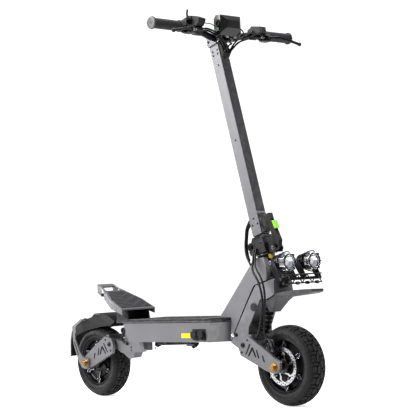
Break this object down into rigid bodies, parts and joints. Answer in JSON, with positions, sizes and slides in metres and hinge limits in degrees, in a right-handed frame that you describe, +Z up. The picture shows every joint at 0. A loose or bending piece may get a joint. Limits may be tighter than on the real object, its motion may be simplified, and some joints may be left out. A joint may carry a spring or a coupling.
{
  "type": "folding electric kick scooter",
  "caption": "Folding off-road electric kick scooter with swing-arm suspension, disc brakes, knobbly tyres, twin headlamps and a kick plate over the rear wheel.",
  "frame": {"origin": "on the floor, under the middle of the wheelbase, in the scooter's mid-plane", "axes": "+X forward, +Y to the rider's left, +Z up"},
  "size_m": [1.242, 0.6266, 1.289],
  "materials": {
    "paint": "satin mid-grey metallic paint",
    "black_metal": "satin black",
    "plastic": "fine matt grain",
    "rubber": "matt",
    "tyre": "off-road tread",
    "steel": "brushed",
    "chrome": "polished",
    "gold": "satin",
    "red_lens": "glossy translucent red",
    "green": "glossy green"
  },
  "bodies": {
    "chassis": {"deck_shell": "paint", "deck_lid": "paint", "grip_mat": "rubber", "battery_pack": "plastic", "controller_pair": "black_metal", "charge_sockets": "plastic", "neck": "paint", "head_tube": "black_metal", "headset_upper": "steel", "headset_lower": "steel", "rear_block": "paint", "kick_plate": "paint", "kick_plate_post": "black_metal"},
    "charge_cap_rear": {"charge_cap_rear": "rubber"},
    "charge_cap_front": {"charge_cap_front": "rubber"},
    "kickstand": {"kickstand": "black_metal"},
    "rear_arm": {"rear_arm": "paint", "rear_axle": "gold", "rear_caliper": "black_metal", "rear_fender": "plastic", "fender_stays": "paint", "tail_light": "red_lens", "rear_spring": "black_metal"},
    "rear_wheel": {"rear_tyre": "tyre", "rear_hub": "black_metal", "rear_rotor": "steel"},
    "steering": {"fork": "paint", "steerer": "steel", "front_fender": "paint", "light_bracket": "black_metal", "hinge_block": "black_metal", "front_spring": "black_metal", "cable_brake": "rubber"},
    "front_arm": {"front_arm": "paint", "front_axle": "gold", "front_caliper": "black_metal"},
    "front_wheel": {"front_tyre": "tyre", "front_hub": "black_metal", "front_rotor": "steel"},
    "lamp_left": {"lamp_left": "chrome"},
    "lamp_right": {"lamp_right": "chrome"},
    "stem": {"stem_foot": "black_metal", "stem_tube": "paint", "stem_clamp": "black_metal", "handlebar": "black_metal", "grip_left": "rubber", "grip_right": "rubber", "display": "plastic", "throttle_pod": "plastic", "switch_pod": "plastic", "brake_perch_left": "black_metal", "brake_perch_right": "black_metal", "cable_loop": "rubber", "cable_upper": "rubber"},
    "latch": {"latch_lever": "plastic"},
    "safety_catch": {"safety_catch": "green"},
    "brake_lever_left": {"brake_lever_left": "black_metal"},
    "brake_lever_right": {"brake_lever_right": "black_metal"},
    "throttle": {"throttle_lever": "plastic"},
    "mode_button": {"mode_button": "rubber"}
  },
  "joints": [
    {"name": "steer", "type": "hinge", "parent": "chassis", "child": "steering", "pos_m": [0.3659, 0, 0.6035], "axis": [-0.2402, 0, 0.9707], "range_deg": [-40, 40], "deforming": ["cable_brake"]},
    {"name": "fold", "type": "hinge", "parent": "steering", "child": "stem", "pos_m": [0.36, 0, 0.505], "axis": [0, 1, 0], "range_deg": [-78, 0], "deforming": ["cable_loop"]},
    {"name": "front_suspension", "type": "hinge", "parent": "steering", "child": "front_arm", "pos_m": [0.345, 0, 0.195], "axis": [0, 1, 0], "range_deg": [-12, 2], "stiffness_Nm_per_rad": 120, "deforming": ["front_spring"]},
    {"name": "front_wheel_spin", "type": "hinge", "parent": "front_arm", "child": "front_wheel", "pos_m": [0.48, 0, 0.1271], "axis": [0, 1, 0], "continuous": true},
    {"name": "rear_suspension", "type": "hinge", "parent": "chassis", "child": "rear_arm", "pos_m": [-0.345, 0, 0.195], "axis": [0, 1, 0], "range_deg": [-2, 12], "stiffness_Nm_per_rad": 140, "deforming": ["rear_spring"]},
    {"name": "rear_wheel_spin", "type": "hinge", "parent": "rear_arm", "child": "rear_wheel", "pos_m": [-0.48, 0, 0.1271], "axis": [0, 1, 0], "continuous": true},
    {"name": "lamp_left_tilt", "type": "hinge", "parent": "steering", "child": "lamp_left", "pos_m": [0.503, 0.056, 0.451], "axis": [0, 1, 0], "range_deg": [-12, 12]},
    {"name": "lamp_right_tilt", "type": "hinge", "parent": "steering", "child": "lamp_right", "pos_m": [0.503, -0.056, 0.451], "axis": [0, 1, 0], "range_deg": [-12, 12]},
    {"name": "latch_lever", "type": "hinge", "parent": "steering", "child": "latch", "pos_m": [0.443, 0, 0.499], "axis": [0, 1, 0], "range_deg": [0, 80]},
    {"name": "safety_catch", "type": "slide", "parent": "latch", "child": "safety_catch", "axis": [0.36, 0, -0.933], "range_m": [0, 0.006], "stiffness_N_per_m": 300},
    {"name": "kickstand", "type": "hinge", "parent": "chassis", "child": "kickstand", "pos_m": [-0.062, 0.07, 0.19], "axis": [0, 1, 0], "range_deg": [-100, 0]},
    {"name": "charge_cap_rear", "type": "hinge", "parent": "chassis", "child": "charge_cap_rear", "pos_m": [0.15, -0.11, 0.244], "axis": [1, 0, 0], "range_deg": [-110, 0]},
    {"name": "charge_cap_front", "type": "hinge", "parent": "chassis", "child": "charge_cap_front", "pos_m": [0.183, -0.11, 0.244], "axis": [1, 0, 0], "range_deg": [-110, 0]},
    {"name": "brake_lever_left", "type": "hinge", "parent": "stem", "child": "brake_lever_left", "pos_m": [0.276, 0.17, 1.213], "axis": [0, 0, 1], "range_deg": [0, 16], "stiffness_Nm_per_rad": 2},
    {"name": "brake_lever_right", "type": "hinge", "parent": "stem", "child": "brake_lever_right", "pos_m": [0.276, -0.17, 1.213], "axis": [0, 0, -1], "range_deg": [0, 16], "stiffness_Nm_per_rad": 2},
    {"name": "throttle", "type": "hinge", "parent": "stem", "child": "throttle", "pos_m": [0.232, -0.1385, 1.256], "axis": [0, -1, 0], "range_deg": [0, 20], "stiffness_Nm_per_rad": 0.2},
    {"name": "mode_button", "type": "slide", "parent": "stem", "child": "mode_button", "axis": [0, 0, -1], "range_m": [0, 0.0008], "stiffness_N_per_m": 400}
  ]
}
